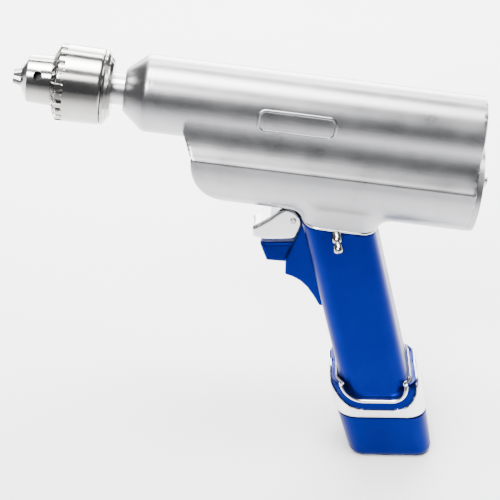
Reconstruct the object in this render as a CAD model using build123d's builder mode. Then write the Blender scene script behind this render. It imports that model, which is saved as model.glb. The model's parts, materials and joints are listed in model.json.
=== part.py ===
from build123d import *
import os
from math import acos, cos, pi, radians, sin, sqrt, tan

# Cordless pistol drill for bone surgery: a two-lobed barrel, a keyed three-jaw chuck,
# a raked handle and a clip-in battery. Millimetres, +Z up, origin at the middle of the
# battery's flat foot. The chuck points along -X and the barrel is tilted nose-up.

# ---------------------------------------------------------------- driving dimensions
nose_up = 7.0             # tilt of the barrel, degrees
rake = 13.2               # lean of the handle from the vertical, degrees
rear_z = 164.7            # middle of the barrel's rear face
rear_x = 73.03 - rear_z * tan(radians(rake))

running = 0.05            # radial clearance of a shaft in its bearing
gap = 0.3                 # clearance between pieces that move past each other
seat = 0.1                # clearance of a piece in its seat

barrel_r = 17.5           # upper lobe
barrel_length = 151.0
wall = 2.5
lobe_half_width = 23.4    # lower lobe
lobe_middle = 23.1        # depth of the middle of the lobe's round belly
crease_drop = 19.7
waist_drop = 3.2
lobe_length = 129.0

nose_length = 11.0        # cone in front of the barrel
nose_r = 9.7
nose_shoulder = 2.4       # length of the rounding between barrel and cone
spindle_r = 7.0
thread_r = 6.0            # spindle nose inside the chuck
bore_r = 2.45             # through bore for a guide wire
spindle_rear = 12.0
front_bearing_rear = barrel_length - 21
bearing_width = 9.0

chuck_rear = barrel_length + nose_length + 5.5
spindle_front = chuck_rear + 17.5
collar_front = chuck_rear + 4.0      # light ring at the back of the chuck
sleeve_front = collar_front + 20.2
bevel_front = sleeve_front + 2.9
nose_rim = bevel_front + 10.7
body_front = nose_rim + 3.3
jaw_front = body_front + 3.6
sleeve_r = 17.1
sleeve_front_r = sleeve_r + 0.3
sleeve_bore_r = 14.2
nose_body_r = 11.3
jaw_r = 2.2
jaw_lean = 15.0           # degrees between a jaw and the spindle
jaw_length = 25.0
jaw_tip_r = 1.2           # distance of a jaw's middle from the spindle axis at its tip
jaw_gap = 0.2
key_hole_r = 2.0
key_hole_u = nose_rim - 4.8
key_hole_depth = 4.0
bevel_teeth = 24
nut_rear = sleeve_front - 5.2
nut_front = sleeve_front + 0.6
nut_bore_r = 10.7

gear_module = 0.8         # output pair
spindle_teeth = 34
output_teeth = 30
planet_module = 0.7       # planetary stage
sun_teeth = 12
planet_teeth = 15
ring_teeth = 42
pressure_angle = 25.0
motor_drop = gear_module * (spindle_teeth + output_teeth) / 2
motor_r = 16.6
motor_rear = 23.5
motor_front = 55.0
gearbox_front = 75.0
gear_rear = 83.0
gear_width = 8.0
bulkhead_rear = 94.0

lid_r = 21.0              # cap of the motor lobe, behind the rear plate
lid_flange = 2.6
lid_dome = 2.2
lid_plug_r = 16.7
lid_plug_length = 4.6
rib_length = 21.0
rib_width = 3.0
guide_r = 4.0
plate_rear = 0.2
plate_thickness = 5.0

neck_rim = 48.0           # depth of the seam between neck and grip
neck_middle = 57.6        # along the barrel
neck_fillet = 8.0
neck_straight = 0.8       # upright rim under the fillet
grip_half_x = 16.6
grip_half_y = 19.5
grip_corner = 8.0
grip_wall = 2.2
grip_foot = 25.0          # height of the grip's lower end
grip_top = rear_z - 24.7
neck_front = neck_middle + grip_half_x
neck_rear = neck_middle - grip_half_x

boss_z = rear_z - 43.3    # mode selector, on the near flank of the grip
boss_x = -boss_z * tan(radians(rake)) - 1.43
boss_r = 2.35
lever_r = 1.65
lever_length = 9.0
lever_droop = 40.0        # degrees below the horizontal

trigger_half = 7.0        # half width of both triggers
slot_half = trigger_half + 1.2
trigger_travel = 6.0
trigger_low = 6.5         # middle of each stem below the seam
reverse_low = 20.0
stem_length = 14.0
stem_half = 3.0
pin_r = 1.5
spring_r = 2.2
swell_half = 9.5          # half width of the swelling under the triggers
mouth_length = 26.0       # opening in the grip for both triggers
mouth_height = 30.4

collar_bottom = 23.6
collar_shoulder = 32.5    # lowest point of the scallops in the flanks
collar_top = 41.5
collar_half_x = grip_half_x + 5.7
collar_half_y = grip_half_y + 2.7
collar_bulge = 1.2
scallop_height = 20.0

base_top_half_x = grip_half_x + 5.0
base_bottom_half_x = base_top_half_x - 1.4
base_half_y = grip_half_y + 0.5
base_corner = 8.0
base_foot_fillet = 3.5
base_top = 23.0
tower_half_x = grip_half_x - 2.7
tower_half_y = grip_half_y - 2.7
tower_top = 62.0
tower_wall = 1.4
cell_r = (tower_half_x - 2.1) / 2
cell_length = 50.0

badge_length = 36.0
badge_height = 11.0
badge_border = 1.6
badge_corner = 3.5
badge_u = 84.0
badge_rise = 0.8          # height of its middle over the spindle axis
badge_thickness = 0.45

# ---------------------------------------------------------------- directions and planes
FORWARD = Vector(-cos(radians(nose_up)), 0, sin(radians(nose_up)))
UPWARD = Vector(sin(radians(nose_up)), 0, cos(radians(nose_up)))
NEAR = Vector(0, -1, 0)
REAR = Vector(rear_x, 0, rear_z)
DOWN_HANDLE = Vector(sin(radians(rake)), 0, -cos(radians(rake)))
side = Plane(origin=REAR, x_dir=FORWARD, z_dir=(0, 1, 0))
spindle_axis = Axis(REAR, FORWARD)
motor_axis = Axis(REAR - UPWARD * motor_drop, FORWARD)


def across(u, drop=0):
    """Plane square to the barrel, u in front of the rear face; its x is the near side."""
    return Plane(origin=REAR + FORWARD * u - UPWARD * drop, x_dir=NEAR, z_dir=FORWARD)


def radial(angle):
    """Plane through the spindle axis: x forward, y outward at this angle from upright."""
    outward = UPWARD * cos(radians(angle)) + NEAR * sin(radians(angle))
    return Plane(origin=REAR, x_dir=FORWARD, z_dir=FORWARD.cross(outward))


def level(z):
    """Horizontal plane at height z, centred on the handle's raked axis."""
    return Plane(origin=(-z * tan(radians(rake)), 0, z), x_dir=(1, 0, 0), z_dir=(0, 0, 1))


def turned(outline, drop=0):
    """Solid of revolution about the spindle axis, or an axis drop below it, from (u, r)."""
    with BuildPart() as piece:
        with BuildSketch(side):
            with BuildLine():
                Polyline([(u, r - drop) for u, r in outline], close=True)
            make_face()
        revolve(axis=Axis(REAR - UPWARD * drop, FORWARD))
    return piece


def ring(u0, u1, inner, outer, drop=0):
    """Plain ring between two stations of the barrel."""
    return turned([(u0, inner), (u1, inner), (u1, outer), (u0, outer)], drop)


def gear_points(teeth, module, phase, addendum, dedendum, play):
    """Outline of an involute gear, a tooth centred on phase; play thins the teeth."""
    pitch_r = teeth * module / 2
    base_r = pitch_r * cos(radians(pressure_angle))
    root_r = pitch_r - dedendum * module
    tip_r = pitch_r + addendum * module
    roll = tan(radians(pressure_angle)) - radians(pressure_angle)
    half_pitch = pi / (2 * teeth) - play / (2 * pitch_r)
    start_r = max(base_r, root_r)
    flank = [root_r] + [start_r + (tip_r - start_r) * step / 4 for step in range(1, 5)]
    half = []
    for r in flank:
        turn = acos(min(1, base_r / max(r, base_r)))
        half.append((r, half_pitch + roll - (tan(turn) - turn)))
    points = []
    for tooth in range(teeth):
        middle = radians(phase) + 2 * pi * tooth / teeth
        for r, angle in half:
            points.append((r * cos(middle - angle), r * sin(middle - angle)))
        for r, angle in reversed(half):
            points.append((r * cos(middle + angle), r * sin(middle + angle)))
    return points


def gear(plane, width, outline, hole_r):
    """Straight-toothed gear on a plane with a round hole, or none."""
    with BuildPart() as piece:
        with BuildSketch(plane):
            with BuildLine():
                Polyline(outline, close=True)
            make_face()
            if hole_r:
                Circle(hole_r, mode=Mode.SUBTRACT)
        extrude(amount=width)
    return piece


def from_seam(points):
    """Points given from the front end of the seam of neck and grip, along and up the barrel."""
    return [(neck_front + u, w - neck_rim) for u, w in points]


def finish(piece, name):
    """Label a finished piece and write it."""
    piece.part.label = name
    export_step(piece.part, f"parts/{name}.step")


os.makedirs("parts", exist_ok=True)

# ---------------------------------------------------------------- housing
waist_half = sqrt(barrel_r ** 2 - waist_drop ** 2)
flare_mid = (waist_half + 1.5, -(waist_drop + crease_drop) / 2 - 1.6)
belly_bottom = lobe_middle + lobe_half_width

with BuildSketch() as barrel_section:
    with BuildLine():
        ThreePointArc((waist_half, -waist_drop), (0, barrel_r), (-waist_half, -waist_drop))
        ThreePointArc((-waist_half, -waist_drop), (-flare_mid[0], flare_mid[1]),
                      (-lobe_half_width, -crease_drop))
        Line((-lobe_half_width, -crease_drop), (-lobe_half_width, -lobe_middle))
        CenterArc((0, -lobe_middle), lobe_half_width, 180, 180)
        Line((lobe_half_width, -lobe_middle), (lobe_half_width, -crease_drop))
        ThreePointArc((lobe_half_width, -crease_drop), flare_mid, (waist_half, -waist_drop))
    make_face()

with BuildSketch() as cavity_section:
    add(barrel_section.sketch)
    offset(amount=-wall, mode=Mode.REPLACE)

with BuildSketch() as plate_section:
    add(barrel_section.sketch)
    offset(amount=-(wall + seat), mode=Mode.REPLACE)


def chin(inset):
    """Side outline of the lower lobe: its front leans back and runs into the belly."""
    top = barrel_r + 2
    shoulder = (lobe_length + 5 - inset, -crease_drop / 2 + inset)
    lip = (lobe_length - inset, -crease_drop)
    heel = (lobe_length - 25 - inset, -belly_bottom + inset)
    middle = (lobe_length - 6 - inset, -(crease_drop + belly_bottom) / 2 - 3 + inset)
    with BuildSketch(side) as outline:
        with BuildLine():
            Polyline((-1, top), (shoulder[0], top), shoulder, lip)
            ThreePointArc(lip, middle, heel)
            Polyline(heel, (-1, heel[1]), (-1, top))
        make_face()
    return outline.sketch


# the space inside the barrel, reached from the rear and opening down into the neck
with BuildPart() as cavity:
    with BuildSketch(across(-1)):
        add(cavity_section.sketch)
    extrude(amount=lobe_length + 3)
    extrude(chin(wall), amount=40, both=True, mode=Mode.INTERSECT)
    with BuildSketch(across(-1)):
        Circle(barrel_r - wall)
    extrude(amount=barrel_length + 2)

neck_plane = Plane(origin=REAR + FORWARD * neck_middle - UPWARD * neck_rim,
                   x_dir=FORWARD, z_dir=UPWARD)
neck_height = neck_rim - lobe_middle

with BuildPart() as neck_hole:
    with BuildSketch(neck_plane.offset(-1)):
        RectangleRounded(2 * (grip_half_x - wall), 2 * (grip_half_y - wall), grip_corner - wall)
    extrude(amount=neck_height)

with BuildPart() as housing:
    with BuildSketch(across(0)):
        add(barrel_section.sketch)
    extrude(amount=lobe_length + 6)
    extrude(chin(0), amount=40, both=True, mode=Mode.INTERSECT)
    with BuildSketch(across(0)):
        Circle(barrel_r)
    extrude(amount=barrel_length)
    with BuildSketch(neck_plane):
        RectangleRounded(2 * grip_half_x, 2 * grip_half_y, grip_corner)
    for turn in (0, 18, 36, 54, 72, 90):
        flare = neck_fillet * (1 - cos(radians(turn)))
        rise = neck_fillet * sin(radians(turn))
        with BuildSketch(neck_plane.offset(neck_straight + rise)):
            RectangleRounded(2 * (grip_half_x + flare), 2 * grip_half_y, grip_corner)
    loft(ruled=True)
    add(cavity.part, mode=Mode.SUBTRACT)
    add(neck_hole.part, mode=Mode.SUBTRACT)
    # slot in the front of the neck, in which the trigger's shoulder runs
    with BuildSketch(side):
        with Locations((neck_front + 4, -neck_rim + 2)):
            Rectangle(24, 10)
    extrude(amount=slot_half, both=True, mode=Mode.SUBTRACT)
finish(housing, "housing")

# ---------------------------------------------------------------- nose of the barrel
nose_front = barrel_length + nose_length
nose_plug_rear = barrel_length - 9
nose_bore_r = spindle_r + 2
seal_seat_r = spindle_r + 2.6
nose_inner = [(nose_front, nose_r), (nose_front, seal_seat_r), (nose_front - 5, seal_seat_r),
              (nose_front - 5, spindle_r + gap), (nose_front - 8, spindle_r + gap),
              (nose_front - 8, nose_bore_r), (nose_plug_rear, nose_bore_r),
              (nose_plug_rear, barrel_r - wall - seat), (barrel_length + running, barrel_r - wall - seat),
              (barrel_length + running, barrel_r)]
with BuildPart() as nose_cap:
    with BuildSketch(side):
        with BuildLine():
            ThreePointArc((barrel_length + running, barrel_r),
                          (barrel_length + nose_shoulder / 2, barrel_r - 0.15),
                          (barrel_length + nose_shoulder, barrel_r - 0.7))
            Line((barrel_length + nose_shoulder, barrel_r - 0.7), (nose_front, nose_r))
            Polyline(nose_inner)
        make_face()
    revolve(axis=spindle_axis)
finish(nose_cap, "nose_cap")
finish(ring(nose_front - 4.9, nose_front - 0.6, spindle_r + running, seal_seat_r - seat), "shaft_seal")

# blank raised frame on the near flank, following the barrel's outline
with BuildSketch() as badge_outer:
    add(barrel_section.sketch)
    offset(amount=badge_thickness, mode=Mode.REPLACE)
with BuildSketch() as badge_inner:
    add(barrel_section.sketch)
    offset(amount=running, mode=Mode.REPLACE)
with BuildPart() as badge_frame:
    with BuildSketch(across(badge_u - badge_length / 2)):
        add(badge_outer.sketch)
        add(badge_inner.sketch, mode=Mode.SUBTRACT)
    extrude(amount=badge_length)
    with BuildSketch(side.offset(-barrel_r - 2)):
        with Locations((badge_u, badge_rise)):
            RectangleRounded(badge_length, badge_height, badge_corner)
            RectangleRounded(badge_length - 2 * badge_border, badge_height - 2 * badge_border,
                             badge_corner - badge_border, mode=Mode.SUBTRACT)
    extrude(amount=10, mode=Mode.INTERSECT)
finish(badge_frame, "badge_frame")

# ---------------------------------------------------------------- spindle and its bearings
bearing_r = barrel_r - wall - seat
finish(ring(front_bearing_rear, front_bearing_rear + bearing_width, spindle_r + running, bearing_r),
       "front_bearing")
finish(ring(spindle_rear + 2, spindle_rear + 10, spindle_r + running, bearing_r), "rear_bearing")
finish(turned([(spindle_rear, bore_r), (spindle_front, bore_r), (spindle_front, thread_r),
               (chuck_rear, thread_r), (chuck_rear, spindle_r), (spindle_rear, spindle_r)]), "spindle")
spindle_gear = gear(across(gear_rear), gear_width,
                    gear_points(spindle_teeth, gear_module, 90, 0.9, 1.15, 0.14), spindle_r + running)
finish(spindle_gear, "spindle_gear")

# ---------------------------------------------------------------- chuck
jaw_slope = tan(radians(jaw_lean))


def jaw_plane(angle):
    """Plane square to a jaw at its rear end, facing forward along the jaw."""
    frame = radial(angle)
    inward = frame.y_dir * -sin(radians(jaw_lean)) + frame.x_dir * cos(radians(jaw_lean))
    start_r = jaw_tip_r + jaw_length * jaw_slope
    start = frame.from_local_coords(Vector(jaw_front - jaw_length, start_r, 0))
    return Plane(origin=start, x_dir=frame.z_dir, z_dir=inward)


chuck_body = turned([(chuck_rear + seat, thread_r + running), (chuck_rear + seat, 12.6),
                     (chuck_rear + 1.6, sleeve_bore_r - running), (nut_rear - gap, sleeve_bore_r - running),
                     (nut_rear - gap, nut_bore_r - gap), (nut_front + gap, nut_bore_r - gap),
                     (nut_front + gap, nose_body_r), (nose_rim, nose_body_r - 0.5),
                     (body_front, 4.6), (body_front, 3.4), (spindle_front + 1, 3.4),
                     (spindle_front + 1, thread_r + running)])
with BuildPart() as chuck_body_cut:
    add(chuck_body.part)
    for angle in (0, 120, 240):
        with BuildSketch(jaw_plane(angle).offset(-15)):
            Circle(jaw_r + running)
        extrude(amount=jaw_length + 20, mode=Mode.SUBTRACT)
    for angle in (60, 180, 300):
        with BuildSketch(Plane(origin=radial(angle).from_local_coords(Vector(key_hole_u, 14, 0)),
                               z_dir=-radial(angle).y_dir)):
            Circle(key_hole_r)
        extrude(amount=14 - nose_body_r + key_hole_depth, mode=Mode.SUBTRACT)
finish(chuck_body_cut, "chuck_body")

rear_ring = turned([(chuck_rear + 1.8, sleeve_bore_r), (collar_front, sleeve_bore_r),
                    (collar_front, sleeve_r - 0.2), (chuck_rear + 3.0, sleeve_r - 0.4),
                    (chuck_rear + 1.8, sleeve_r - 2.2)])
finish(rear_ring, "chuck_rear_ring")

sleeve_blank = turned([(collar_front + gap, sleeve_bore_r), (nut_front + 0.7, sleeve_bore_r),
                       (nut_front + 0.7, nose_body_r + gap), (bevel_front, nose_body_r + gap),
                       (sleeve_front, sleeve_front_r), (collar_front + gap + 1, sleeve_r),
                       (collar_front + gap, sleeve_r - 0.8)])
with BuildPart() as chuck_sleeve:
    add(sleeve_blank.part)
    for tooth in range(bevel_teeth):
        frame = radial(360 / bevel_teeth * (tooth + 0.5))
        with BuildSketch(Plane(origin=frame.from_local_coords(Vector(0, sleeve_front_r + 1, 0)),
                               x_dir=frame.z_dir, z_dir=-frame.y_dir)):
            with BuildLine():
                Polyline((-1.25, -sleeve_front - 4), (-0.5, -sleeve_front + 2.6),
                         (0.5, -sleeve_front + 2.6), (1.25, -sleeve_front - 4), close=True)
            make_face()
        extrude(amount=sleeve_front_r - nose_body_r - 1.6, mode=Mode.SUBTRACT)
finish(chuck_sleeve, "chuck_sleeve")

# the nut is a ring broken into two halves, held by the sleeve round it
with BuildPart() as chuck_nut:
    add(ring(nut_rear, nut_front, nut_bore_r, sleeve_bore_r - running).part)
    with BuildSketch(side):
        with Locations(((nut_rear + nut_front) / 2, 0)):
            Rectangle(10, 40)
    extrude(amount=0.2, both=True, mode=Mode.SUBTRACT)
finish(chuck_nut, "chuck_nut")

for number, angle in enumerate((0, 120, 240), start=1):
    with BuildPart() as jaw:
        with BuildSketch(jaw_plane(angle)):
            Circle(jaw_r)
        extrude(amount=jaw_length + 4)
        frame = radial(angle)
        with BuildSketch(Plane(origin=REAR, x_dir=frame.y_dir, z_dir=FORWARD)):
            with BuildLine():
                Polyline((jaw_gap, 0), (20, -20 * tan(radians(60))), (20, 20 * tan(radians(60))),
                         close=True)
            make_face()
        extrude(amount=jaw_front, mode=Mode.INTERSECT)
    finish(jaw, f"chuck_jaw_{number}")

# ---------------------------------------------------------------- motor, gearbox, output shaft
shaft_r = 1.6
can_front = motor_front - gap
with BuildPart() as motor_can:
    add(ring(motor_rear, can_front, shaft_r + running, motor_r, motor_drop).part)
    fillet(motor_can.edges().filter_by(GeomType.CIRCLE).group_by(SortBy.RADIUS)[-1], 1.0)
finish(motor_can, "motor_can")

planet_rear = motor_front + 5.0
planet_width = 7.0
planet_orbit = (sun_teeth + planet_teeth) * planet_module / 2
pinion = gear(across(planet_rear - 1, motor_drop), planet_width + 1,
              gear_points(sun_teeth, planet_module, 0, 0.85, 1.1, 0.12), 0)
with BuildPart() as motor_shaft:
    add(ring(motor_rear + 3, planet_rear - 1, 0, shaft_r, motor_drop).part)
    add(pinion.part)
finish(motor_shaft, "motor_shaft")

# ring gear: the gearbox case itself, toothed inside
with BuildPart() as gearbox_case:
    with BuildSketch(across(motor_front, motor_drop)):
        Circle(motor_r)
    extrude(amount=gearbox_front - motor_front)
    with BuildSketch(across(motor_front - 1, motor_drop)):
        with BuildLine():
            Polyline(gear_points(ring_teeth, planet_module, 0, 1.1, 0.8, -0.12), close=True)
        make_face()
    extrude(amount=gearbox_front - motor_front + 2, mode=Mode.SUBTRACT)
finish(gearbox_case, "gearbox_case")

planet_pin_r = 1.5
for number in range(3):
    angle = radians(120 * number)
    origin = across(planet_rear, motor_drop)
    place = origin.from_local_coords(Vector(planet_orbit * cos(angle), planet_orbit * sin(angle), 0))
    planet = gear(Plane(origin=place, x_dir=NEAR, z_dir=FORWARD), planet_width,
                  gear_points(planet_teeth, planet_module, 120 * number, 0.85, 1.1, 0.12),
                  planet_pin_r + running)
    finish(planet, f"planet_{number + 1}")

carrier_rear = planet_rear + planet_width + 0.5
shaft_out_r = 4.0
with BuildPart() as carrier:
    add(turned([(carrier_rear, 0), (bulkhead_rear + 5, 0), (bulkhead_rear + 5, shaft_out_r),
                (carrier_rear + 3, shaft_out_r), (carrier_rear + 3, 12.6), (carrier_rear, 12.6)],
               motor_drop).part)
    with BuildSketch(across(planet_rear, motor_drop)):
        with PolarLocations(planet_orbit, 3):
            Circle(planet_pin_r)
    extrude(amount=planet_width + 1)
finish(carrier, "planet_carrier")
output_gear = gear(across(gear_rear, motor_drop), gear_width,
                   gear_points(output_teeth, gear_module, 90 + 180 / output_teeth, 0.9, 1.15, 0.14),
                   shaft_out_r + running)
finish(output_gear, "output_gear")
finish(ring(gearbox_front + 1, gearbox_front + 6, shaft_out_r + running, motor_r, motor_drop),
       "output_bearing")

# bulkhead across both lobes, in front of the gears
with BuildPart() as bulkhead:
    with BuildSketch(across(bulkhead_rear)):
        add(plate_section.sketch)
        Circle(spindle_r + gap, mode=Mode.SUBTRACT)
        with Locations((0, -motor_drop)):
            Circle(shaft_out_r + running, mode=Mode.SUBTRACT)
    extrude(amount=4)
finish(bulkhead, "gear_bulkhead")

# ---------------------------------------------------------------- rear plate, guide tube, cap
plate_front = plate_rear + plate_thickness
screw_spots = [(9.2, 8.2), (-9.2, 8.2)]
with BuildPart() as rear_plate:
    with BuildSketch(across(plate_rear)):
        add(plate_section.sketch)
        Circle(guide_r + seat, mode=Mode.SUBTRACT)
        with Locations((0, -motor_drop)):
            Circle(lid_plug_r + gap, mode=Mode.SUBTRACT)
    extrude(amount=plate_thickness)
    with BuildSketch(across(plate_rear)):
        with Locations(*screw_spots):
            Circle(1.9)
    extrude(amount=1.6, mode=Mode.SUBTRACT)
finish(rear_plate, "rear_plate")
finish(turned([(0.0, bore_r), (spindle_rear - gap, bore_r), (spindle_rear - gap, guide_r), (0.4, guide_r),
               (0.0, guide_r - 0.4)]), "guide_tube")
with BuildPart() as plate_screws:
    with BuildSketch(across(plate_rear + 0.1)):
        with Locations(*screw_spots):
            Circle(1.8)
            RegularPolygon(0.8, 6, mode=Mode.SUBTRACT)
    extrude(amount=1.4)
finish(plate_screws, "plate_screws")

lid_front = -seat
lid_rear = lid_front - lid_flange
lid_crown = lid_rear - lid_dome
plug_front = plate_rear + lid_plug_length
lid_rim = lid_r - motor_drop
lid_side = [(lid_crown, -motor_drop), (plug_front, -motor_drop), (plug_front, lid_plug_r - motor_drop),
            (lid_front, lid_plug_r - motor_drop), (lid_front, lid_rim), (lid_rear, lid_rim)]
with BuildPart() as rear_cap:
    with BuildSketch(side):
        with BuildLine():
            Polyline(lid_side)
            ThreePointArc((lid_rear, lid_rim), (lid_rear - lid_dome * 0.72, lid_r * 0.55 - motor_drop),
                          (lid_crown, -motor_drop))
        make_face()
    revolve(axis=motor_axis)
    # groove for the seal behind the flange
    add(ring(plate_rear + 1.2, plate_rear + 3.0, lid_plug_r - 1.4, lid_plug_r + 1, motor_drop).part,
        mode=Mode.SUBTRACT)
    # finger rib across the dome
    with BuildSketch(across(lid_crown - 1.2, motor_drop)):
        SlotOverall(rib_length, rib_width, rotation=45)
    extrude(amount=lid_dome + 1.4)
finish(rear_cap, "rear_cap")
finish(ring(plate_rear + 1.35, plate_rear + 2.85, lid_plug_r - 1.3, lid_plug_r + 0.2, motor_drop),
       "cap_seal")

# ---------------------------------------------------------------- grip
grip_cut = Plane(origin=REAR - UPWARD * (neck_rim + gap), x_dir=FORWARD, z_dir=-UPWARD)


def prism(half_x, half_y, corner, z0, z1):
    """Raked prism with level ends, on the handle's axis."""
    with BuildPart() as piece:
        with BuildSketch(level(z0)):
            RectangleRounded(2 * half_x, 2 * half_y, corner)
        with BuildSketch(level(z1)):
            RectangleRounded(2 * half_x, 2 * half_y, corner)
        loft(ruled=True)
    return piece


swell_top, swell_nose, swell_lip, swell_hollow, swell_heel, swell_back = from_seam(
    [(-10.2, -22), (5.3, -23), (4.6, -31), (-5.2, -34.6), (-13.7, -45.5), (-22.2, -45.5)])
with BuildPart() as grip_shell:
    add(prism(grip_half_x, grip_half_y, grip_corner, grip_foot, grip_top).part)
    # swelling under the triggers, where the middle finger lies
    with BuildSketch(side):
        with BuildLine():
            Polyline(swell_top, swell_nose, swell_lip)
            ThreePointArc(swell_lip, swell_hollow, swell_heel)
            Polyline(swell_heel, swell_back, swell_top)
        make_face()
    extrude(amount=swell_half, both=True)
    with BuildSketch(grip_cut.offset(-40)):
        Rectangle(400, 100)
    extrude(amount=40, mode=Mode.SUBTRACT)
    add(prism(grip_half_x - grip_wall, grip_half_y - grip_wall, grip_corner - grip_wall,
              grip_foot - 1, grip_top).part, mode=Mode.SUBTRACT)
    # seat of the selector's boss
    with BuildSketch(Plane(origin=(boss_x, -grip_half_y - 1, boss_z), z_dir=(0, 1, 0))):
        Circle(boss_r + running)
    extrude(amount=grip_wall + 2, mode=Mode.SUBTRACT)
    # mouth for the two triggers
    with BuildSketch(side):
        with Locations(*from_seam([(1.8, -12)])):
            Rectangle(mouth_length, mouth_height)
    extrude(amount=slot_half, both=True, mode=Mode.SUBTRACT)
finish(grip_shell, "grip_shell")

# ---------------------------------------------------------------- triggers and switch
trigger_outline = from_seam([(23.2, -9.6), (15.0, -3.0), (8.8, 2.8), (5.2, 1.2), (1.4, -2.6),
                             (1.4, -13.2), (15.8, -15.4), (22.0, -15.0)])
reverse_outline = from_seam([(19.0, -16.6), (15.6, -17.1), (1.4, -14.9), (1.4, -25.4), (14.0, -26.4)])
pin_spot = from_seam([(4.4, -3.6)])
stem_u = -4.2


def pushed(outline, stem_low):
    """Finger piece of a trigger with the stem that pushes its spring."""
    with BuildPart() as piece:
        with BuildSketch(side):
            with BuildLine():
                Polyline(outline, close=True)
            make_face()
        extrude(amount=trigger_half, both=True)
        with BuildSketch(side):
            with Locations(*from_seam([(stem_u, -stem_low)])):
                Rectangle(stem_length, 2 * stem_half)
        extrude(amount=stem_half, both=True)
    return piece


with BuildPart() as trigger:
    add(pushed(trigger_outline, trigger_low).part)
    with BuildSketch(side):
        with Locations(*pin_spot):
            Circle(pin_r + running)
    extrude(amount=trigger_half + 1, both=True, mode=Mode.SUBTRACT)
    fillet(trigger.edges().filter_by(Axis.Y).sort_by(Axis.X)[:3], 1.2)
finish(trigger, "trigger")
with BuildPart() as trigger_pin:
    with BuildSketch(side):
        with Locations(*pin_spot):
            Circle(pin_r)
    extrude(amount=trigger_half + 0.7, both=True)
    fillet(trigger_pin.edges().filter_by(GeomType.CIRCLE), pin_r / 3)
finish(trigger_pin, "trigger_pin")
finish(pushed(reverse_outline, reverse_low), "reverse_trigger")

# the switches bear on both flanks of the grip; the springs lie between them and the stems
spring_length = trigger_travel + 0.4
spring_rear = neck_front + stem_u - stem_length / 2 - 0.3 - spring_length
switch_length = 13.0
switch_height = 19.0
with BuildPart() as switch_module:
    with BuildSketch(side):
        with Locations((spring_rear - 0.3 - switch_length / 2, -neck_rim - (trigger_low + reverse_low) / 2)):
            Rectangle(switch_length, switch_height)
    extrude(amount=grip_half_y - grip_wall - gap, both=True)
    fillet(switch_module.edges().filter_by(Axis(REAR, UPWARD)), grip_corner - grip_wall - 1)
finish(switch_module, "switch_module")
for name, low in (("trigger_spring", trigger_low), ("reverse_spring", reverse_low)):
    finish(ring(spring_rear, spring_rear + spring_length, spring_r - 0.8, spring_r, neck_rim + low), name)

# ---------------------------------------------------------------- mode selector
lever_direction = Vector(0, -cos(radians(lever_droop)), -sin(radians(lever_droop)))
with BuildPart() as selector:
    with BuildSketch(Plane(origin=(boss_x, -grip_half_y + 1.8, boss_z), z_dir=(0, -1, 0))):
        Circle(boss_r)
    extrude(amount=4.2)
    with BuildSketch(Plane(origin=(boss_x, -grip_half_y - 1.6, boss_z), z_dir=lever_direction)):
        Circle(lever_r)
    extrude(amount=lever_length)
    fillet(selector.faces().sort_by(Axis.Z)[0].edges(), lever_r / 2)
finish(selector, "selector_lever")

# ---------------------------------------------------------------- controller, contacts
board_low = tower_top + 8
board_high = board_low + 28
board_thickness = 1.6
with BuildPart() as controller_board:
    with BuildSketch(level(board_low)):
        Rectangle(board_thickness, 2 * (grip_half_y - grip_wall) - 2)
    with BuildSketch(level(board_high)):
        Rectangle(board_thickness, 2 * (grip_half_y - grip_wall) - 2)
    loft(ruled=True)
finish(controller_board, "controller_board")
with BuildPart() as contact_block:
    add(prism(grip_half_x - grip_wall - seat, grip_half_y - 3.5, grip_corner - 2,
              tower_top + 2.4, tower_top + 7.4).part)
finish(contact_block, "contact_block")

# ---------------------------------------------------------------- handle collar
with BuildPart() as handle_collar:
    with BuildSketch(level(collar_bottom)):
        RectangleRounded(2 * (collar_half_x - collar_bulge), 2 * (collar_half_y - collar_bulge),
                         grip_corner + 1)
    with BuildSketch(level(collar_bottom + 3)):
        RectangleRounded(2 * collar_half_x, 2 * collar_half_y, grip_corner + 2)
    with BuildSketch(level(collar_shoulder)):
        RectangleRounded(2 * collar_half_x, 2 * collar_half_y - collar_bulge, grip_corner + 2)
    with BuildSketch(level(collar_top)):
        RectangleRounded(2 * (grip_half_x + 1.6), 2 * (grip_half_y + 1.6), grip_corner + 1.6)
    loft(ruled=True)
    add(prism(grip_half_x + seat, grip_half_y + seat, grip_corner + seat,
              collar_bottom - 1, collar_top + 1).part, mode=Mode.SUBTRACT)
    # scallops in the two flanks
    scallop = level(collar_shoulder)
    with BuildSketch(Plane(origin=scallop.origin + Vector(-2.1, 0, scallop_height / 2),
                           x_dir=(1, 0, 0), z_dir=(0, -1, 0))):
        RectangleRounded(2 * grip_half_x - 3, scallop_height, grip_corner)
    extrude(amount=60, both=True, mode=Mode.SUBTRACT)
finish(handle_collar, "handle_collar")

# ---------------------------------------------------------------- battery
with BuildPart() as battery_case:
    with BuildSketch(level(0)):
        RectangleRounded(2 * base_bottom_half_x, 2 * base_half_y, base_corner)
    with BuildSketch(level(base_top)):
        RectangleRounded(2 * base_top_half_x, 2 * base_half_y + 1, base_corner + 1)
    loft(ruled=True)
    fillet(battery_case.faces().sort_by(Axis.Z)[0].edges(), base_foot_fillet)
    add(prism(tower_half_x, tower_half_y, 5, base_top - 1, tower_top).part)
    # room for the four cells
    add(prism(tower_half_x - tower_wall, tower_half_y - tower_wall, 4, 4, tower_top - 2).part,
        mode=Mode.SUBTRACT)
finish(battery_case, "battery_case")

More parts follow.
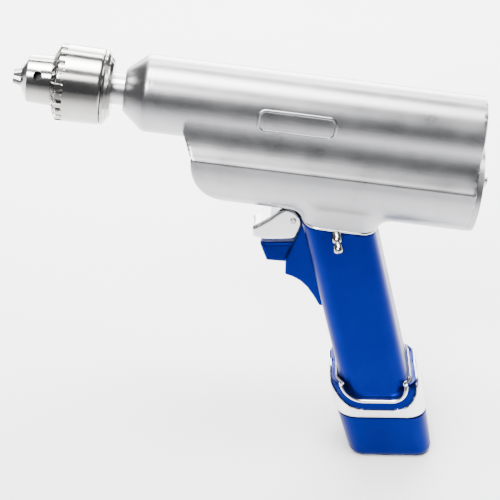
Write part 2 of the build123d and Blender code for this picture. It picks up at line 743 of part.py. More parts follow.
cell_plane = Plane(origin=level(8.0).origin, x_dir=(cos(radians(rake)), 0, sin(radians(rake))),
                   z_dir=-DOWN_HANDLE)
with BuildPart() as battery_cells:
    with BuildSketch(cell_plane):
        with GridLocations(2 * cell_r + 0.1, 2 * cell_r + 2.4, 2, 2):
            Circle(cell_r)
    extrude(amount=cell_length)
finish(battery_cells, "battery_cells")
with BuildPart() as battery_contacts:
    with BuildSketch(level(tower_top)):
        with GridLocations(0, 7, 1, 3):
            Rectangle(8, 2.4)
    extrude(amount=2.2)
finish(battery_contacts, "battery_contacts")
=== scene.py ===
"""Looks of a cordless pistol drill: a satin two-lobed barrel, a bright keyed chuck, a blue handle."""
import json
from math import cos, radians, sin

import bpy
import numpy as np
from mathutils import Matrix, Vector


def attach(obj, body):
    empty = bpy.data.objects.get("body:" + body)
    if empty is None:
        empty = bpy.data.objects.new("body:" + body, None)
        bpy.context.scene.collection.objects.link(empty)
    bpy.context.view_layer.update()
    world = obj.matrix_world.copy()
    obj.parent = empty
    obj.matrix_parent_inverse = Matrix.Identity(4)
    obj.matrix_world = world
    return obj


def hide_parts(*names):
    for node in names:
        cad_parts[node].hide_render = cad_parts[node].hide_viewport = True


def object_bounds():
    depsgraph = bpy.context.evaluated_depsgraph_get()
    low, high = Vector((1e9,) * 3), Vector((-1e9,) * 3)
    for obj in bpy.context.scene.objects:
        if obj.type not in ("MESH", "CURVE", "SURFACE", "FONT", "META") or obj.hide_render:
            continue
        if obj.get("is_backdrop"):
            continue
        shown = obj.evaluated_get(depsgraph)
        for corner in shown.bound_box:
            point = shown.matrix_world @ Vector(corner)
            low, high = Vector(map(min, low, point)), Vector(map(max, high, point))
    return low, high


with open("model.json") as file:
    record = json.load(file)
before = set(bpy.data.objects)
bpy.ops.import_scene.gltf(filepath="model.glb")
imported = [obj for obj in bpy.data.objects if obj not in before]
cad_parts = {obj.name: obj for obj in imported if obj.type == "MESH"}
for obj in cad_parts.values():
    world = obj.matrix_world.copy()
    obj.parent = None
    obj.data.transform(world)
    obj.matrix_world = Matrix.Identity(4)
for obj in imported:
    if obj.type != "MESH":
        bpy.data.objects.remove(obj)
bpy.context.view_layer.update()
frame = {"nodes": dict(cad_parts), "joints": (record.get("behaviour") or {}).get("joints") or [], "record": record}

MM = 0.001


# ---------------------------------------------------------------- places taken from the frame
def joint(name):
    """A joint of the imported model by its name."""
    return next(j for j in frame["joints"] if j["name"] == name)


forward = Vector(joint("spindle_spin")["axis"]).normalized()
side = Vector((0, 1, 0))
upward = side.cross(forward)
rear_middle = Vector(joint("spindle_spin")["pos_m"]) / MM - forward * 100.0
down_handle = Vector(joint("battery_slide")["axis"]).normalized()
rake_slope = -down_handle.x / down_handle.z
barrel_turn = np.array([forward, side, upward])


def barrel_to_row(points):
    """Points (along, across, up) from the barrel's rear face to the row frame: a turn and a shift."""
    return points @ barrel_turn + np.array(rear_middle)


def handle_to_row(points):
    """Points of the upright handle leaned over: x loses height times the slope of the rake."""
    leaned = points.copy()
    leaned[:, 0] -= rake_slope * points[:, 2]
    return leaned


# ---------------------------------------------------------------- mesh work
def mesh_object(name, points_mm, faces):
    """A mesh object at the origin from points in millimetres and a list or array of faces."""
    mesh = bpy.data.meshes.new(name)
    mesh.from_pydata(np.asarray(points_mm) * MM, [], faces if isinstance(faces, list) else faces.tolist())
    mesh.update()
    mesh.polygons.foreach_set("use_smooth", [True] * len(mesh.polygons))
    mesh.set_sharp_from_angle(angle=radians(38))
    piece = bpy.data.objects.new(name, mesh)
    bpy.context.scene.collection.objects.link(piece)
    return piece


def grid_faces(rows, columns, closed_rows=False, closed_columns=True):
    """Quads of a grid of points numbered row by row, joined end to end where it is closed."""
    r = np.arange(rows if closed_rows else rows - 1)[:, None]
    c = np.arange(columns if closed_columns else columns - 1)[None, :]
    r1, c1 = (r + 1) % rows, (c + 1) % columns
    quads = np.stack([r * columns + c, r * columns + c1, r1 * columns + c1, r1 * columns + c], -1)
    return quads.reshape(-1, 4)


def beading(name, path, outward, half_width, height, closed=True, sides=16):
    """Raised bead along a path: an ellipse set up on each point's outward direction and carried
    along; path + half_width * cos(t) * across + height * sin(t) * outward."""
    if closed:
        ahead = np.roll(path, -1, axis=0) - np.roll(path, 1, axis=0)
    else:
        ahead = np.gradient(path, axis=0)
    outward = outward / np.linalg.norm(outward, axis=1)[:, None]
    across = np.cross(ahead, outward)
    across /= np.linalg.norm(across, axis=1)[:, None]
    t = np.linspace(0, 2 * np.pi, sides + 1)[:-1]
    points = (path[:, None] + half_width * np.cos(t)[:, None] * across[:, None]
              + height * np.sin(t)[:, None] * outward[:, None]).reshape(-1, 3)
    faces = grid_faces(len(path), sides, closed_rows=closed).tolist()
    if not closed:
        faces += [list(range(sides))[::-1], list(range((len(path) - 1) * sides, len(path) * sides))]
    return mesh_object(name, points, faces)


def field_surface(name, field, low, high, step, to_row):
    """Surface where a distance field is zero: one point in each cell that the surface crosses,
    at the mean of its crossed edges, drawn onto the surface by Newton steps along the slope."""
    axes = [np.arange(a - step, b + 2 * step, step) for a, b in zip(low, high)]
    grid = np.meshgrid(*axes, indexing="ij")
    value = field(*grid)
    shape = [n - 1 for n in value.shape]
    total, count = np.zeros(shape + [3]), np.zeros(shape)
    corners = [(i, j, k) for i in (0, 1) for j in (0, 1) for k in (0, 1)]
    for a in corners:
        for axis in range(3):
            if a[axis]:
                continue
            b = tuple(1 if n == axis else a[n] for n in range(3))
            va, vb = (value[tuple(slice(c[n], c[n] + shape[n]) for n in range(3))] for c in (a, b))
            crossed = (va < 0) != (vb < 0)
            share = np.where(crossed, va / np.where(crossed, va - vb, 1), 0)
            place = np.broadcast_to(np.array(a, float), shape + [3]).copy()
            place[..., axis] += share
            total += place * crossed[..., None]
            count += crossed
    active = count > 0
    number = np.full(shape, -1)
    number[active] = np.arange(active.sum())
    cell = np.argwhere(active)
    origin = np.array([a[0] for a in axes])
    points = origin + step * (cell + total[active] / count[active][:, None])
    quads = []
    for axis in range(3):
        other = [n for n in range(3) if n != axis]
        here = [slice(1, -1)] * 3
        here[axis] = slice(0, -1)
        there = list(here)
        there[axis] = slice(1, None)
        first, second = value[tuple(here)] < 0, value[tuple(there)] < 0
        index = np.argwhere(first != second)
        out = first[tuple(index.T)]
        for n in other:
            index[:, n] += 1
        ring = []
        for da, db in ((1, 1), (0, 1), (0, 0), (1, 0)):
            cell_at = index.copy()
            cell_at[:, other[0]] -= da
            cell_at[:, other[1]] -= db
            ring.append(number[tuple(cell_at.T)])
        quad = np.stack(ring, -1)
        flip = out if axis != 1 else ~out
        quads.append(np.where(flip[:, None], quad, quad[:, ::-1]))
    quads = np.concatenate(quads)
    reach = 0.02
    for _ in range(5):
        f = field(*points.T)
        slope = np.stack([(field(*(points + reach * e).T) - field(*(points - reach * e).T)) / (2 * reach)
                          for e in np.eye(3)], -1)
        size = np.maximum((slope ** 2).sum(-1), 0.25)
        points -= np.clip(f / size, -0.4 * step, 0.4 * step)[:, None] * slope
    return mesh_object(name, to_row(points), quads)


# ---------------------------------------------------------------- distance fields
def box_field(x, y, half_x, half_y, corner):
    """Distance to a rectangle with round corners: the outer distance less the corner radius."""
    dx, dy = abs(x) - half_x + corner, abs(y) - half_y + corner
    return np.hypot(np.maximum(dx, 0), np.maximum(dy, 0)) + np.minimum(np.maximum(dx, dy), 0) - corner


def polygon_field(x, y, outline):
    """Distance to a closed outline of straight sides, negative inside by the crossing rule."""
    nearest = np.full(np.shape(x), 1e9)
    inside = np.zeros(np.shape(x), bool)
    for (ax, ay), (bx, by) in zip(outline, outline[1:] + outline[:1]):
        ex, ey = bx - ax, by - ay
        t = np.clip(((x - ax) * ex + (y - ay) * ey) / (ex * ex + ey * ey), 0, 1)
        nearest = np.minimum(nearest, np.hypot(x - ax - t * ex, y - ay - t * ey))
        if ey:
            inside ^= ((ay > y) != (by > y)) & (x < ax + ex * (y - ay) / ey)
    return np.where(inside, -nearest, nearest)


def blend_union(a, b, size):
    """Union of two fields with a fillet about as large as size."""
    h = np.maximum(size - abs(a - b), 0) / size
    return np.minimum(a, b) - h * h * size / 4


def blend_cut(a, b, size):
    """Intersection of two fields with a rounded edge about as large as size."""
    return -blend_union(-a, -b, size)


def slab(flat, across, half, edge):
    """A flat outline given thickness, with rounded edges: the corner of the two distances."""
    dx, dy = flat + edge, abs(across) - half + edge
    return np.hypot(np.maximum(dx, 0), np.maximum(dy, 0)) + np.minimum(np.maximum(dx, dy), 0) - edge


def smooth_step(value):
    """Rises from 0 to 1 with level ends."""
    value = np.clip(value, 0, 1)
    return value * value * (3 - 2 * value)


def circle_through(a, b, c):
    """Middle and radius of the circle through three points."""
    m = np.array([[b[0] - a[0], b[1] - a[1]], [c[0] - a[0], c[1] - a[1]]], float) * 2
    v = np.array([b[0] ** 2 + b[1] ** 2 - a[0] ** 2 - a[1] ** 2, c[0] ** 2 + c[1] ** 2 - a[0] ** 2 - a[1] ** 2])
    middle = np.linalg.solve(m, v)
    return middle[0], middle[1], float(np.hypot(middle[0] - a[0], middle[1] - a[1]))


# ---------------------------------------------------------------- materials
def material(name):
    """A new material with its shader, its output and object coordinates in millimetres."""
    mat = bpy.data.materials.new(name)
    mat.use_nodes = True
    nodes, links = mat.node_tree.nodes, mat.node_tree.links
    shader = nodes["Principled BSDF"]
    where = nodes.new("ShaderNodeTexCoord")
    scale = nodes.new("ShaderNodeVectorMath")
    scale.operation = "SCALE"
    scale.inputs["Scale"].default_value = 1 / MM
    links.new(where.outputs["Object"], scale.inputs[0])
    return mat, nodes, links, shader, scale.outputs["Vector"]


def noise(nodes, links, vector, size, detail=3.0):
    """Noise with features about size millimetres across; its value runs from 0 to 1."""
    node = nodes.new("ShaderNodeTexNoise")
    node.inputs["Scale"].default_value = 1 / size
    node.inputs["Detail"].default_value = detail
    node.inputs["Roughness"].default_value = 0.55
    links.new(vector, node.inputs["Vector"])
    return node.outputs["Fac"]


def along(nodes, links, vector, direction, size):
    """Noise that changes only along a direction, as tool marks on a turned surface do."""
    dot = nodes.new("ShaderNodeVectorMath")
    dot.operation = "DOT_PRODUCT"
    dot.inputs[1].default_value = direction
    links.new(vector, dot.inputs[0])
    node = nodes.new("ShaderNodeTexNoise")
    node.noise_dimensions = "1D"
    node.inputs["Scale"].default_value = 1 / size
    node.inputs["Detail"].default_value = 4.0
    links.new(dot.outputs["Value"], node.inputs["W"])
    return node.outputs["Fac"]


def spread(nodes, links, value, low, high):
    """The middle of a noise, 0.3 to 0.7, stretched to run from low to high."""
    node = nodes.new("ShaderNodeMapRange")
    node.inputs["From Min"].default_value = 0.3
    node.inputs["From Max"].default_value = 0.7
    node.inputs["To Min"].default_value = low
    node.inputs["To Max"].default_value = high
    links.new(value, node.inputs["Value"])
    return node.outputs["Result"]


def tint(nodes, links, factor, dark, light):
    """A colour between two colours."""
    node = nodes.new("ShaderNodeMix")
    node.data_type = "RGBA"
    node.inputs["A"].default_value = (*dark, 1)
    node.inputs["B"].default_value = (*light, 1)
    links.new(factor, node.inputs["Factor"])
    return node.outputs["Result"]


def bump(nodes, links, shader, height, depth_mm, below=None):
    """Raises the surface by height times depth; a second bump can lie below it."""
    node = nodes.new("ShaderNodeBump")
    node.inputs["Strength"].default_value = 1.0
    node.inputs["Distance"].default_value = depth_mm * MM
    links.new(height, node.inputs["Height"])
    if below:
        links.new(below, node.inputs["Normal"])
    links.new(node.outputs["Normal"], shader.inputs["Normal"])
    return node.outputs["Normal"]


def metal(name, dark, light, roughness, grain=0.35, grain_depth=0.004, marks=None, marks_depth=0.002):
    """A metal: tone and gloss that wander in soft patches, a fine grain and optional tool marks."""
    mat, nodes, links, shader, vector = material(name)
    shader.inputs["Metallic"].default_value = 1.0
    soft = noise(nodes, links, vector, 18.0)
    fine = noise(nodes, links, vector, grain, detail=2.0)
    links.new(tint(nodes, links, spread(nodes, links, soft, 0, 1), dark, light), shader.inputs["Base Color"])
    mixed = nodes.new("ShaderNodeMath")
    mixed.operation = "ADD"
    links.new(spread(nodes, links, soft, roughness[0], roughness[1]), mixed.inputs[0])
    links.new(spread(nodes, links, fine, -0.02, 0.03), mixed.inputs[1])
    links.new(mixed.outputs["Value"], shader.inputs["Roughness"])
    below = bump(nodes, links, shader, fine, grain_depth)
    if marks:
        rings = along(nodes, links, vector, marks, 0.5)
        bump(nodes, links, shader, rings, marks_depth, below=below)
    return mat


def moulded(name, dark, light, roughness, metallic=0.0):
    """A moulded or coated surface: near-even colour in soft patches and a fine eggshell grain."""
    mat, nodes, links, shader, vector = material(name)
    shader.inputs["Metallic"].default_value = metallic
    shader.inputs["Specular IOR Level"].default_value = 0.5 - 0.45 * metallic
    soft = noise(nodes, links, vector, 25.0)
    fine = noise(nodes, links, vector, 0.5, detail=2.0)
    links.new(tint(nodes, links, spread(nodes, links, soft, 0, 1), dark, light), shader.inputs["Base Color"])
    links.new(spread(nodes, links, soft, roughness[0], roughness[1]), shader.inputs["Roughness"])
    bump(nodes, links, shader, fine, 0.01)
    return mat


barrel_direction = tuple(forward)
finishes = {
    "satin_aluminium": metal("satin_aluminium", (0.36, 0.36, 0.37), (0.43, 0.43, 0.44), (0.27, 0.34),
                             grain=0.28, grain_depth=0.006),
    "bright_steel": metal("bright_steel", (0.42, 0.41, 0.39), (0.52, 0.51, 0.49), (0.10, 0.18),
                          grain_depth=0.001, marks=barrel_direction, marks_depth=0.0015),
    "steel": metal("steel", (0.50, 0.50, 0.51), (0.62, 0.62, 0.63), (0.22, 0.32), marks=barrel_direction),
    "hard_steel": metal("hard_steel", (0.36, 0.36, 0.37), (0.48, 0.48, 0.49), (0.25, 0.36),
                        marks=barrel_direction),
    "polished_aluminium": metal("polished_aluminium", (0.80, 0.80, 0.82), (0.88, 0.88, 0.90), (0.14, 0.22),
                                grain_depth=0.001),
    "blue_anodised": moulded("blue_anodised", (0.0010, 0.006, 0.115), (0.0020, 0.009, 0.150), (0.30, 0.40),
                             metallic=1.0),
    "blue_plastic": moulded("blue_plastic", (0.0010, 0.006, 0.100), (0.0020, 0.009, 0.135), (0.34, 0.44),
                            metallic=1.0),
    "black_plastic": moulded("black_plastic", (0.006, 0.006, 0.007), (0.012, 0.012, 0.013), (0.45, 0.55)),
    "rubber": moulded("rubber", (0.010, 0.010, 0.010), (0.020, 0.020, 0.020), (0.65, 0.8)),
    "green_board": moulded("green_board", (0.01, 0.10, 0.04), (0.015, 0.14, 0.06), (0.35, 0.5)),
    "contact_brass": metal("contact_brass", (0.70, 0.50, 0.22), (0.80, 0.60, 0.30), (0.2, 0.3)),
    "cell_sleeve": moulded("cell_sleeve", (0.05, 0.10, 0.25), (0.07, 0.13, 0.30), (0.3, 0.4)),
}
slot_of = {s["node"]: s["material_slot"] for s in frame["record"]["subparts"]}
for node, thing in frame["nodes"].items():
    thing.data.materials.clear()
    thing.data.materials.append(finishes[slot_of[node]])


def place(piece, body, slot, *replaced):
    """Gives a new piece its finish and its body, and hides the plain nodes it stands for."""
    piece.data.materials.append(finishes[slot])
    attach(piece, body)
    if replaced:
        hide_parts(*replaced)


# ---------------------------------------------------------------- places on the object, mm
barrel_r, barrel_length, wall = 17.5, 151.0, 2.5
lobe_half, lobe_middle, crease_drop, waist_drop = 23.4, 23.1, 19.7, 3.2
lobe_length, neck_rim = 129.0, 48.0
neck_middle, grip_half_x, grip_half_y, grip_corner = 57.6, 16.6, 19.5, 8.0
flank_wall, neck_top = wall - 0.5, 30.0
selector_x, selector_z = -29.9, 121.4
waist_half = float(np.sqrt(barrel_r ** 2 - waist_drop ** 2))
flare = circle_through((waist_half, -waist_drop), (waist_half + 1.5, -(waist_drop + crease_drop) / 2 - 1.6),
                       (lobe_half, -crease_drop))
belly = lobe_middle + lobe_half
chin = circle_through((lobe_length, -crease_drop), (lobe_length - 6, -(crease_drop + belly) / 2 - 3),
                      (lobe_length - 25, -belly))


def along_barrel(x, z):
    """Distance forward from the barrel's rear face and up from the spindle, for row points."""
    dx, dz = x - rear_middle.x, z - rear_middle.z
    return dx * forward.x + dz * forward.z, dx * upward.x + dz * upward.z


# ---------------------------------------------------------------- barrel housing
def lobes(v, w):
    """Two-lobed section: a round upper lobe, flared flanks down to the crease, and a round belly."""
    upper = np.hypot(v, w) - barrel_r
    reach = np.sqrt(np.maximum(flare[2] ** 2 - (w - flare[1]) ** 2, 0))
    flank = np.maximum(abs(v) - np.where(w > -waist_drop, waist_half, flare[0] - reach), -w - crease_drop)
    flank = np.maximum(flank, w)
    belly_field = np.maximum(np.hypot(v, np.minimum(w + lobe_middle, 0)) - lobe_half, w + crease_drop)
    return np.minimum(np.minimum(upper, flank), belly_field)


def chin_field(u, w):
    """Front of the lower lobe: a leaning edge above the crease and a round chin under it."""
    lean = u - lobe_length - np.clip((w + crease_drop) / (crease_drop / 2), 0, 1) * 5
    chin_round = np.where(w < -crease_drop, np.hypot(u - chin[0], w - chin[1]) - chin[2], lean)
    return np.where(u > chin[0], chin_round, -20)


def housing_field(u, v, w):
    """The lobes cut by the chin, the upper lobe run on to the nose and a filleted neck, hollowed."""
    section = lobes(v, w)
    body = blend_cut(section, chin_field(u, w), 1.2)
    body = np.minimum(body, np.hypot(v, w) - barrel_r)
    neck = np.maximum(box_field(u - neck_middle, v, grip_half_x, grip_half_y, grip_corner), w + neck_top)
    fillet = np.maximum(8 - abs(body - neck), 0) ** 2 / 32 * smooth_step((-w - 31) / 8)
    body = np.minimum(body, neck) - fillet
    hollow = np.maximum(section + flank_wall, chin_field(u, w) + wall)
    hollow = np.minimum(hollow, np.hypot(v, w) - barrel_r + wall)
    throat = box_field(u - neck_middle, v, grip_half_x - wall, grip_half_y - wall, grip_corner - wall)
    hollow = np.minimum(hollow, np.maximum(throat, w + neck_top))
    slot = slab(np.maximum(abs(u - 78.2) - 12, abs(w + 46) - 5), v, 8.2, 0.6)
    body = np.maximum(body, np.maximum(-u, u - barrel_length))
    return np.maximum(np.maximum(body, -hollow), np.maximum(-slot, -w - neck_rim))


housing = field_surface("barrel_housing", housing_field, (0, -25, -neck_rim), (barrel_length, 25, 18.5), 0.9,
                        barrel_to_row)
place(housing, "drill", "satin_aluminium", "housing")

def round_rectangle(middle_x, middle_y, half_x, half_y, corner):
    """Outline of a rectangle with round corners: a corner circle whose middle is carried to the
    end of each straight run, middle + clip(60 * cos(t), run) + corner * cos(t)."""
    t = np.linspace(0, 2 * np.pi, 361)[:-1]
    run_x, run_y = half_x - corner, half_y - corner
    return (middle_x + np.clip(60 * np.cos(t), -run_x, run_x) + corner * np.cos(t),
            middle_y + np.clip(60 * np.sin(t), -run_y, run_y) + corner * np.sin(t))


# thin bright rim of the neck, open in front where the trigger's shoulder runs
rim_u, rim_v = round_rectangle(neck_middle, 0, grip_half_x, grip_half_y, grip_corner)
rim = np.stack([rim_u, rim_v, np.full(360, -neck_rim + 0.3)], -1)
keep = ~((rim[:, 0] > neck_middle) & (abs(rim[:, 1]) < 8.6))
first = int(np.argmax(keep & ~np.roll(keep, 1)))
rim = np.roll(rim, -first, axis=0)[:int(keep.sum())]
rim_out = np.tile(np.array(upward), (len(rim), 1))
place(beading("neck_seam_rim", barrel_to_row(rim), rim_out, 0.55, 0.5, closed=False), "drill",
      "polished_aluminium")

# raised blank frame on the near flank: a rounded rectangle bent round the upper lobe
frame_u, frame_s = round_rectangle(84.0, 0.8, 17.2, 4.9, 3.2)
bend = frame_s / barrel_r
badge_path = np.stack([frame_u, -barrel_r * np.cos(bend), barrel_r * np.sin(bend)], -1)
badge_out = np.stack([0 * bend, -np.cos(bend), np.sin(bend)], -1) @ barrel_turn
place(beading("badge_frame_raised", barrel_to_row(badge_path), badge_out, 0.75, 0.5), "drill",
      "satin_aluminium", "badge_frame")

# ---------------------------------------------------------------- grip
cheek_side = [(60, -50.2), (74.6, -52.2), (76.0, -57.5), (78.0, -65.0), (79.6, -71.0), (78.8, -79.0),
              (75.0, -79.9), (71.2, -81.6), (67.6, -84.4), (64.2, -88.4), (60.5, -93.5), (50, -93.5)]


def mouth_field(u, w, y):
    """Opening for both triggers between the cheeks of the grip."""
    return slab(np.maximum(abs(u - 76) - 13, abs(w + 60) - 15.2), y, 8.2, 0.5)


def grip_field(x, y, z):
    """Leaning round-cornered tube, open for the triggers and for the selector's boss."""
    xh = x + rake_slope * z
    u, w = along_barrel(x, z)
    body = box_field(xh, y, grip_half_x, grip_half_y, grip_corner)
    hollow = box_field(xh, y, grip_half_x - 2.2, grip_half_y - 2.2, grip_corner - 2.2)
    ends = np.maximum(25 - z, w + neck_rim + 0.3)
    boss = np.maximum(np.hypot(x - selector_x, z - selector_z) - 2.4, y + 15)
    return np.maximum(np.maximum(body, -hollow), np.maximum(ends, np.maximum(-mouth_field(u, w, y), -boss)))


def cheek_field(x, y, z):
    """Two cheeks beside the triggers that close under them into a rest for the middle finger."""
    u, w = along_barrel(x, z)
    hollow = box_field(x + rake_slope * z, y, grip_half_x - 1.6, grip_half_y - 1.6, grip_corner - 1.6)
    body = np.maximum(slab(polygon_field(u, w, cheek_side), y, 9.6, 1.1), -hollow)
    return np.maximum(body, -mouth_field(u, w, y))


grip = field_surface("grip_tube", grip_field, (-60, -20, 25), (14, 20, 131), 0.8, lambda p: p)
place(grip, "drill", "blue_anodised", "grip_shell")
place(field_surface("grip_cheeks", cheek_field, (-57, -10, 66), (-15, 10, 128), 0.45, lambda p: p), "drill",
      "blue_anodised")

# ---------------------------------------------------------------- triggers
trigger_side = [(97.4, -58.0), (93.4, -55.0), (89.2, -51.4), (85.6, -47.6), (82.6, -45.6), (79.0, -46.4),
                (75.2, -49.4), (73.6, -53.0), (73.4, -58.6), (75.6, -61.2), (90.0, -63.4), (96.2, -62.8)]
reverse_side = [(92.9, -64.9), (89.8, -65.1), (75.6, -62.9), (67.0, -61.7), (67.0, -73.3), (88.2, -74.3)]


def pushed_field(outline, stem_low, scoop):
    """A side outline given thickness, with a finger scoop down its front and its stem behind."""
    def field(u, v, w):
        body = slab(polygon_field(u, w, outline), v, 7.0, 1.5)
        hollow = np.hypot(u - scoop[0], v) - scoop[1]
        stem = slab(np.maximum(abs(u - 70) - 7, abs(w + neck_rim + stem_low) - 3), v, 3.0, 0.3)
        return np.minimum(blend_cut(body, -hollow, 1.0), stem)
    return field


place(field_surface("trigger_block", pushed_field(trigger_side, 6.5, (123.0, 26.6)), (62.5, -7.5, -64.5),
                    (98, 7.5, -45), 0.4, barrel_to_row), "trigger", "polished_aluminium", "trigger")
place(field_surface("reverse_block", pushed_field(reverse_side, 20.0, (118.0, 26.0)), (62.5, -7.5, -75.5),
                    (94, 7.5, -61), 0.4, barrel_to_row), "reverse_trigger", "blue_plastic", "reverse_trigger")

# ---------------------------------------------------------------- collar at the foot of the handle
collar_low, collar_high = 23.6, 42.4


def collar_parts(x, y, z):
    """Distances to the collar's outer face, to its flank windows, to the grip and to its ends."""
    top = np.clip((z - 37) / 5.4, 0, 1) ** 2.5
    foot = np.clip((26.8 - z) / 3.2, 0, 1) ** 2
    outer = box_field(x, y, 22.3 - 1.4 * top - 1.1 * foot, 22.2 - 0.8 * top - 1.1 * foot, 10.0)
    window = box_field(x + 0.4, z - 54.6, 15.0, 20.0, 8.5)
    return outer, window, box_field(x, y, grip_half_x + 0.1, grip_half_y + 0.1, grip_corner), \
        np.maximum(collar_low - z, z - collar_high)


def collar_field(x, y, z):
    """A band round the handle with U-shaped windows; a bead and a channel run round each window
    and on over the top of the band, in front of the handle and behind it."""
    outer, window, inner, ends = collar_parts(x, y, z)
    flank = 3.5 - abs(y)
    channel = np.maximum(np.maximum(abs(window - 3.7) - 2.1, -outer - 1.2), flank)
    top_channel = np.maximum(np.maximum(abs(inner - 2.6) - 0.9, collar_high - 1.6 - z), 0.3 - window)
    channel = np.minimum(channel, top_channel)
    bead = np.maximum(np.maximum(np.hypot(window - 0.7, outer + 0.3) - 0.9, flank), ends)
    top_bead = np.maximum(np.hypot(inner - 0.8, z - collar_high + 0.4) - 0.95, -window - 0.6)
    bead = blend_union(bead, top_bead, 0.5)
    body = blend_cut(blend_cut(outer, ends, 1.4), -window, 0.4)
    body = blend_cut(body, -channel, 0.4)
    return np.maximum(np.minimum(body, bead), -inner)


def channel_shade_field(x, y, z):
    """Thin dark blue strip on the floor of the channel: painted shade in the groove."""
    outer, window, inner, ends = collar_parts(x, y, z)
    side_shade = np.maximum(np.maximum(abs(window - 3.7) - 2.0, abs(outer + 1.4) - 0.5),
                            np.maximum(3.5 - abs(y), ends + 0.6))
    top_shade = np.maximum(np.maximum(abs(inner - 2.6) - 0.85, abs(z - collar_high + 1.9) - 0.5), 0.4 - window)
    return np.minimum(side_shade, top_shade)


place(field_surface("collar_band", collar_field, (-22.5, -22.5, collar_low), (22.5, 22.5, collar_high), 0.42,
                    handle_to_row), "drill", "polished_aluminium", "handle_collar")
# dark blue strip in the collar's channel: painted shade in the groove
place(field_surface("collar_channel_shade", channel_shade_field, (-22.5, -22.5, collar_low), (22.5, 22.5, collar_high), 0.4,
                    handle_to_row), "drill", "blue_plastic")

# ---------------------------------------------------------------- chuck
def turned_grid(name, profile, columns, radius=None):
    """Surface of revolution about the spindle: each (u, r) swept round; radius may reshape it."""
    profile = np.array(profile, float)
    angle = np.linspace(0, 2 * np.pi, columns + 1)[:-1]
    u = np.repeat(profile[:, 0], columns)
    r = np.repeat(profile[:, 1], columns)
    a = np.tile(angle, len(profile))
    if radius is not None:
        r = radius(u, r, a)
    points = barrel_to_row(np.stack([u, -r * np.sin(a), r * np.cos(a)], -1))
    return mesh_object(name, points, grid_faces(len(profile), columns, closed_rows=True)[:, ::-1])


def sleeve_radius(u, r, a):
    """Notches between 24 bevel teeth, deepest at the front edge of the sleeve."""
    phase = (a / (2 * np.pi) * 24) % 1
    notch = 1 - smooth_step((abs(phase - 0.5) - 0.17) / 0.10)
    reach = smooth_step((u - 188.6) / 0.7)
    return np.where(r > 12.2, r - 2.6 * notch * reach * smooth_step((r - 12.2) / 2.4), r)


sleeve_profile = [(171.8, 14.2), (171.8, 16.2), (171.95, 16.65), (172.3, 16.95), (172.9, 17.1)]
sleeve_profile += [(u, 17.1 + (u - 172.9) / 17.8 * 0.3) for u in np.linspace(173.5, 190.7, 72)]
sleeve_profile += [(191.2, 17.4), (191.6, 17.3), (191.9, 17.05)]
sleeve_profile += [(191.9 + 2.7 * t, 17.05 - 5.3 * t) for t in np.linspace(0.08, 1, 14)]
sleeve_profile += [(194.6, 11.65), (193.0, 11.65), (193.0, 14.2)]
place(turned_grid("sleeve_toothed", sleeve_profile, 768, sleeve_radius), "chuck_sleeve", "bright_steel",
      "chuck_sleeve")

cone = [(142.0, 9.0), (142.0, 14.9), (150.4, 14.9), (150.4, 17.5), (151.2, 17.5)]
cone += [(151.2 + 2.2 * t, 17.5 - 0.72 * t * t) for t in np.linspace(0.1, 1, 12)]
cone += [(153.4 + 8.2 * t, 16.78 - 6.78 * t) for t in np.linspace(0.03, 1, 40)]
cone += [(161.85, 9.7), (162.0, 9.4), (162.0, 9.6), (157.0, 9.6), (157.0, 7.3), (154.0, 7.3), (154.0, 9.0)]
place(turned_grid("nose_cone", cone, 256), "drill", "satin_aluminium", "nose_cap")


def turned_about(foot, way, across, above, profile, columns):
    """Points of a profile of (h, r) turned about a line through foot:
    foot + h * way + r * (cos(t) * across + sin(t) * above)."""
    t = np.linspace(0, 2 * np.pi, columns + 1)[:-1, None]
    ring = np.cos(t) * np.array(across) + np.sin(t) * np.array(above)
    profile = np.array(profile)[:, None]
    return (np.array(foot) + profile[..., :1] * np.array(way) + profile[..., 1:] * ring).reshape(-1, 3)


# Black cups lining the chuck's three key holes: painted shade inside the holes.
cup_profile = [(7.36, 0.0), (7.36, 1.0), (7.36, 1.94), (9.0, 1.95), (10.9, 1.95)]
for number, turn_deg in enumerate((60, 180, 300), start=1):
    outward = upward * cos(radians(turn_deg)) - side * sin(radians(turn_deg))
    cup = turned_about(rear_middle + forward * 200.5, outward, forward, forward.cross(outward), cup_profile, 40)
    place(mesh_object(f"key_hole_shade_cup_{number}", cup, grid_faces(len(cup_profile), 40)), "spindle",
          "black_plastic")

# ---------------------------------------------------------------- selector
pin_way = Vector((0.13, -cos(radians(40)), -sin(radians(40)))).normalized()
pin_side = (Vector((1, 0, 0)) - pin_way * pin_way.x).normalized()
pin_foot = Vector((selector_x, -21.1, selector_z))
knots = np.array([(-3.6, 0.0), (-3.6, 1.6), (-3.0, 2.1), (-1.2, 2.35), (0.4, 2.35), (1.4, 2.15), (2.0, 1.75),
                  (2.3, 1.5), (2.7, 1.5), (3.0, 1.85), (3.5, 2.15), (5.2, 2.2), (6.2, 2.05), (6.9, 1.6),
                  (7.25, 0.9), (7.3, 0.0)])
knot_t = np.concatenate([[0], np.cumsum(np.hypot(*np.diff(knots, axis=0).T))])
fine_t = np.linspace(0, knot_t[-1], 70)
pin_profile = np.stack([np.interp(fine_t, knot_t, knots[:, 0]), np.interp(fine_t, knot_t, knots[:, 1])], -1)
pin = turned_about(pin_foot, pin_way, pin_side, pin_way.cross(pin_side), pin_profile, 48)
place(mesh_object("selector_pin", pin, grid_faces(70, 48)), "selector", "bright_steel", "selector_lever")

# ---------------------------------------------------------------- stage, light and camera
def area_light(name, place_at, aim, size, power, spread):
    """A soft rectangular light that faces a point."""
    data = bpy.data.lights.new(name, "AREA")
    data.shape = "RECTANGLE"
    data.size, data.size_y = size
    data.energy = power
    data.spread = radians(spread)
    lamp = bpy.data.objects.new(name, data)
    bpy.context.scene.collection.objects.link(lamp)
    lamp.location = place_at
    lamp.rotation_euler = (Vector(aim) - Vector(place_at)).to_track_quat("-Z", "Y").to_euler()


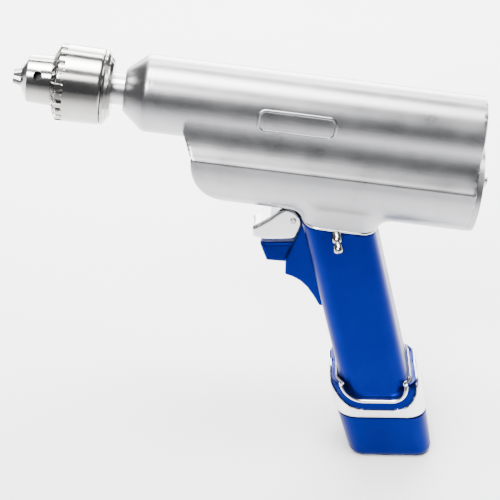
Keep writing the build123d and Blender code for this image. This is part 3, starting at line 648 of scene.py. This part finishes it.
middle = sum((Vector(corner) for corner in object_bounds()), Vector()) / 2
floor_half = 3000
floor = mesh_object("floor", [(-floor_half, -floor_half, 0), (floor_half, -floor_half, 0),
                              (floor_half, floor_half, 0), (-floor_half, floor_half, 0)], [(0, 1, 2, 3)])
floor_mat, nodes, links, shader, vector = material("floor_paper")
links.new(tint(nodes, links, noise(nodes, links, vector, 300.0), (0.86, 0.86, 0.87), (0.90, 0.90, 0.91)),
          shader.inputs["Base Color"])
shader.inputs["Roughness"].default_value = 0.9
floor.data.materials.append(floor_mat)
floor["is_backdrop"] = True

world = bpy.data.worlds.new("studio")
world.use_nodes = True
world.node_tree.nodes["Background"].inputs["Color"].default_value = (0.90, 0.93, 1.0, 1)
world.node_tree.nodes["Background"].inputs["Strength"].default_value = 0.13
bpy.context.scene.world = world
area_light("backdrop_light", (0.0, 0.85, 1.0), (0.0, 0.75, 0.0), (1.8, 0.7), 38, 86)
area_light("back_light", (0.0, 1.05, 0.60), (0.0, 0.0, 0.30), (1.8, 0.8), 14, 70)
area_light("top_light", (-0.05, -0.10, 1.1), (0.0, 0.02, 0.15), (1.1, 0.6), 6, 50)
area_light("front_light", (-0.35, -0.75, 0.90), middle, (0.8, 0.3), 1.6, 40)

view_azimuth, view_elevation, view_roll = radians(1.62), radians(28.16), radians(0.06)
camera_data = bpy.data.cameras.new("camera")
camera_data.sensor_width = 36.0
camera_data.lens = 115.3
camera = bpy.data.objects.new("camera", camera_data)
bpy.context.scene.collection.objects.link(camera)
backward = Vector((sin(view_azimuth) * cos(view_elevation), -cos(view_azimuth) * cos(view_elevation),
                   sin(view_elevation)))
right = Vector((cos(view_azimuth), sin(view_azimuth), 0))
above = backward.cross(right)
right, above = (right * cos(view_roll) + above * sin(view_roll),
                above * cos(view_roll) - right * sin(view_roll))
turn = Matrix((right, above, backward)).transposed().to_4x4()
camera.matrix_world = Matrix.Translation(Vector((-0.05122, -0.66738, 0.46106))) @ turn
bpy.context.scene.camera = camera
